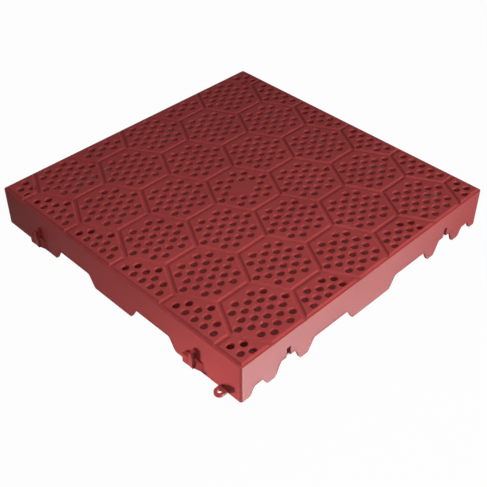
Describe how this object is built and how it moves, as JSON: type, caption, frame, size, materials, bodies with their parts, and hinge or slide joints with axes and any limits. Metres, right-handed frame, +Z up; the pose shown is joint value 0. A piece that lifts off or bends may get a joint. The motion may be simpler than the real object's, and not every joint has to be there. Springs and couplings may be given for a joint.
{
  "type": "perforated paving tile",
  "caption": "Square interlocking plastic paving tile: a deck of drilled hexagonal pads on an arched skirt and round feet, with hooks and eyelets on two sides and slots on the other two.",
  "frame": {"origin": "middle of the tile at floor level, on the end of the middle foot", "axes": "+Z up out of the walking surface; hooks on the -Y and -X sides, slots on the +X and +Y sides"},
  "size_m": [0.412, 0.412, 0.052],
  "materials": {
    "tile_plastic": "moulded polypropylene, brick red, satin with a fine mould texture"
  },
  "bodies": {
    "root": {"tile": "tile_plastic"}
  },
  "joints": []
}
